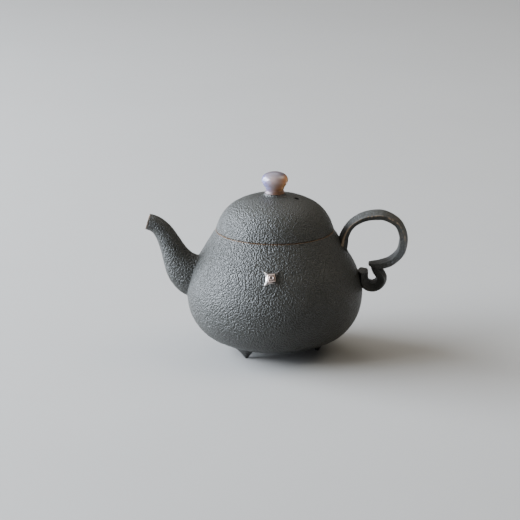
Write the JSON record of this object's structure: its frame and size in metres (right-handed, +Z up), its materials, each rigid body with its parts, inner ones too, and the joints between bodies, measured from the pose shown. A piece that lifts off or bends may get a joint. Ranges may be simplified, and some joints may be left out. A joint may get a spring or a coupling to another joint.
{
  "type": "clay teapot",
  "caption": "Small round clay teapot with a curved spout, a curled strap handle, pointed feet, a lift-off domed lid and an agate knob.",
  "frame": {"origin": "the pot's turning axis at the table surface that the three feet stand on", "axes": "+Z up along the turning axis, +X towards the handle, so the spout points along -X and the metal stud faces -Y"},
  "size_m": [0.1239, 0.0834, 0.0867],
  "materials": {
    "black_clay": "unglazed stoneware with a fine wrinkled, leather-like skin, satin sheen",
    "silver": "polished silver",
    "agate": "polished translucent agate, lavender grey to amber",
    "brass_pin": "plain turned brass"
  },
  "bodies": {
    "pot": {"pot_wall": "black_clay", "base_disc": "black_clay", "mouth_ring": "black_clay", "spout": "black_clay", "strainer": "black_clay", "handle_loop": "black_clay", "handle_scroll": "black_clay", "foot_front": "black_clay", "foot_handle_side": "black_clay", "foot_back": "black_clay", "metal_stud": "silver"},
    "lid": {"lid_dome": "black_clay", "lid_seat_ring": "black_clay", "lid_flange": "black_clay", "knob_seat": "black_clay", "agate_knob": "agate", "knob_pin": "brass_pin"}
  },
  "joints": [
    {"name": "lid_lift", "type": "slide", "parent": "pot", "child": "lid", "axis": [0, 0, 1], "range_m": [0, 0.04]}
  ]
}
